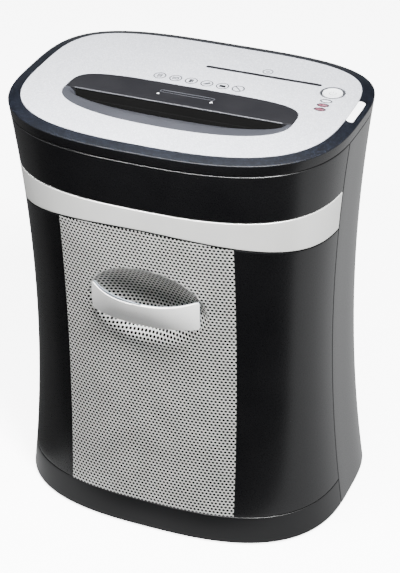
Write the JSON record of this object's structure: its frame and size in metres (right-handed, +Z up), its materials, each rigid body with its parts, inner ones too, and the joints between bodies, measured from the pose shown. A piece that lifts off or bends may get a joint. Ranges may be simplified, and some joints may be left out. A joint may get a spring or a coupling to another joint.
{
  "type": "paper shredder",
  "caption": "Pedestal office paper shredder with waisted body, paper, card and disc slots, and a pull-out waste bin with perforated front and bowed handle.",
  "frame": {"origin": "on the floor, midway between left and right and midway between the handle's front and the back of the rim", "axes": "+Z up, +X to the right as seen from the front, the front faces -Y"},
  "size_m": [0.3654, 0.2729, 0.4672],
  "materials": {
    "left_casing": "moulded, fine satin",
    "right_casing": "moulded, fine satin",
    "rear_cover": "moulded, fine satin",
    "front_plinth": "moulded, satin",
    "base_floor": "moulded",
    "rubber_feet": "matt",
    "front_fascia": "moulded, semi gloss",
    "silver_band": "silver paint, satin",
    "top_rim": "fine metallic black, gloss",
    "top_plate": "silver satin",
    "label_plate": "plain white",
    "throat_insert": "moulded, fine grain",
    "throat_lip": "moulded, satin grey",
    "paper_guides": "rolled",
    "paper_sensor": "moulded",
    "disc_chute": "moulded",
    "button_bezel": "plated",
    "indicator_windows": "tinted",
    "control_board": "solder mask",
    "power_board": "solder mask",
    "power_inlet": "moulded",
    "rear_screws": "blackened",
    "bin_runners": "acetal",
    "interlock_switch": "moulded",
    "chassis_plate": "grey",
    "side_plate_left": "zinc plated",
    "side_plate_right": "zinc plated",
    "roller_plate": "zinc plated",
    "tie_rods": "drawn",
    "frame_screws": "zinc plated",
    "shaft_bushes": "sintered bronze",
    "comb_front": "grey",
    "comb_rear": "grey",
    "gear_studs": "turned",
    "motor_body": "grey",
    "motor_clamp": "pressed",
    "bin_door": "moulded, semi gloss",
    "door_back": "moulded, matt",
    "mesh_panel": "perforated, satin",
    "bin_handle": "satin anodised",
    "waste_bucket": "moulded",
    "bin_bracket": "moulded",
    "disc_tray": "moulded",
    "interlock_tab": "moulded",
    "power_button": "silver, satin",
    "cutter_shaft_rear": "turned",
    "cutter_discs_rear": "hardened",
    "tie_gear_rear": "nylon",
    "bull_gear": "nylon",
    "cutter_shaft_front": "turned",
    "cutter_discs_front": "hardened",
    "tie_gear_front": "nylon",
    "compound_gear": "nylon",
    "motor_rotor": "turned",
    "motor_fan": "moulded",
    "transfer_gear": "nylon",
    "disc_roller_front": "hardened",
    "disc_roller_rear": "hardened"
  },
  "bodies": {
    "cabinet": {"left_casing": "left_casing", "right_casing": "right_casing", "rear_cover": "rear_cover", "front_plinth": "front_plinth", "base_floor": "base_floor", "rubber_feet": "rubber_feet", "front_fascia": "front_fascia", "silver_band": "silver_band", "top_rim": "top_rim", "top_plate": "top_plate", "label_plate": "label_plate", "throat_insert": "throat_insert", "throat_lip": "throat_lip", "paper_guides": "paper_guides", "paper_sensor": "paper_sensor", "disc_chute": "disc_chute", "button_bezel": "button_bezel", "indicator_windows": "indicator_windows", "control_board": "control_board", "power_board": "power_board", "power_inlet": "power_inlet", "rear_screws": "rear_screws", "bin_runners": "bin_runners", "interlock_switch": "interlock_switch", "chassis_plate": "chassis_plate", "side_plate_left": "side_plate_left", "side_plate_right": "side_plate_right", "roller_plate": "roller_plate", "tie_rods": "tie_rods", "frame_screws": "frame_screws", "shaft_bushes": "shaft_bushes", "comb_front": "comb_front", "comb_rear": "comb_rear", "gear_studs": "gear_studs", "motor_body": "motor_body", "motor_clamp": "motor_clamp"},
    "bin": {"bin_door": "bin_door", "door_back": "door_back", "mesh_panel": "mesh_panel", "bin_handle": "bin_handle", "waste_bucket": "waste_bucket", "bin_bracket": "bin_bracket", "disc_tray": "disc_tray", "interlock_tab": "interlock_tab"},
    "button": {"power_button": "power_button"},
    "rear_cutter": {"cutter_shaft_rear": "cutter_shaft_rear", "cutter_discs_rear": "cutter_discs_rear", "tie_gear_rear": "tie_gear_rear", "bull_gear": "bull_gear"},
    "front_cutter": {"cutter_shaft_front": "cutter_shaft_front", "cutter_discs_front": "cutter_discs_front", "tie_gear_front": "tie_gear_front"},
    "compound": {"compound_gear": "compound_gear"},
    "rotor": {"motor_rotor": "motor_rotor", "motor_fan": "motor_fan"},
    "transfer": {"transfer_gear": "transfer_gear"},
    "front_roller": {"disc_roller_front": "disc_roller_front"},
    "rear_roller": {"disc_roller_rear": "disc_roller_rear"}
  },
  "joints": [
    {"name": "bin_slide", "type": "slide", "parent": "cabinet", "child": "bin", "axis": [0, -1, 0], "range_m": [0, 0.23]},
    {"name": "button_press", "type": "slide", "parent": "cabinet", "child": "button", "axis": [0, 0, -1], "range_m": [0, 0.0015], "stiffness_N_per_m": 400},
    {"name": "rear_cutter_spin", "type": "hinge", "parent": "cabinet", "child": "rear_cutter", "pos_m": [0, -0.0067, 0.4], "axis": [1, 0, 0], "continuous": true},
    {"name": "front_cutter_spin", "type": "hinge", "parent": "cabinet", "child": "front_cutter", "pos_m": [0, -0.0507, 0.4], "axis": [1, 0, 0], "continuous": true},
    {"name": "compound_spin", "type": "hinge", "parent": "cabinet", "child": "compound", "pos_m": [0, 0.0483, 0.4], "axis": [1, 0, 0], "continuous": true},
    {"name": "rotor_spin", "type": "hinge", "parent": "cabinet", "child": "rotor", "pos_m": [0, 0.0813, 0.4], "axis": [1, 0, 0], "continuous": true},
    {"name": "transfer_spin", "type": "hinge", "parent": "cabinet", "child": "transfer", "pos_m": [0, 0.0293, 0.4], "axis": [1, 0, 0], "continuous": true},
    {"name": "front_roller_spin", "type": "hinge", "parent": "cabinet", "child": "front_roller", "pos_m": [0, 0.0563, 0.4], "axis": [1, 0, 0], "continuous": true},
    {"name": "rear_roller_spin", "type": "hinge", "parent": "cabinet", "child": "rear_roller", "pos_m": [0, 0.0823, 0.4], "axis": [1, 0, 0], "continuous": true}
  ],
  "couplings": [
    {"joint": "front_cutter_spin", "follows": "rear_cutter_spin", "ratio": -1},
    {"joint": "compound_spin", "follows": "rear_cutter_spin", "ratio": -4},
    {"joint": "rotor_spin", "follows": "rear_cutter_spin", "ratio": 13.6},
    {"joint": "transfer_spin", "follows": "rear_cutter_spin", "ratio": -1.5714},
    {"joint": "front_roller_spin", "follows": "rear_cutter_spin", "ratio": 1.6923},
    {"joint": "rear_roller_spin", "follows": "rear_cutter_spin", "ratio": -1.6923}
  ]
}
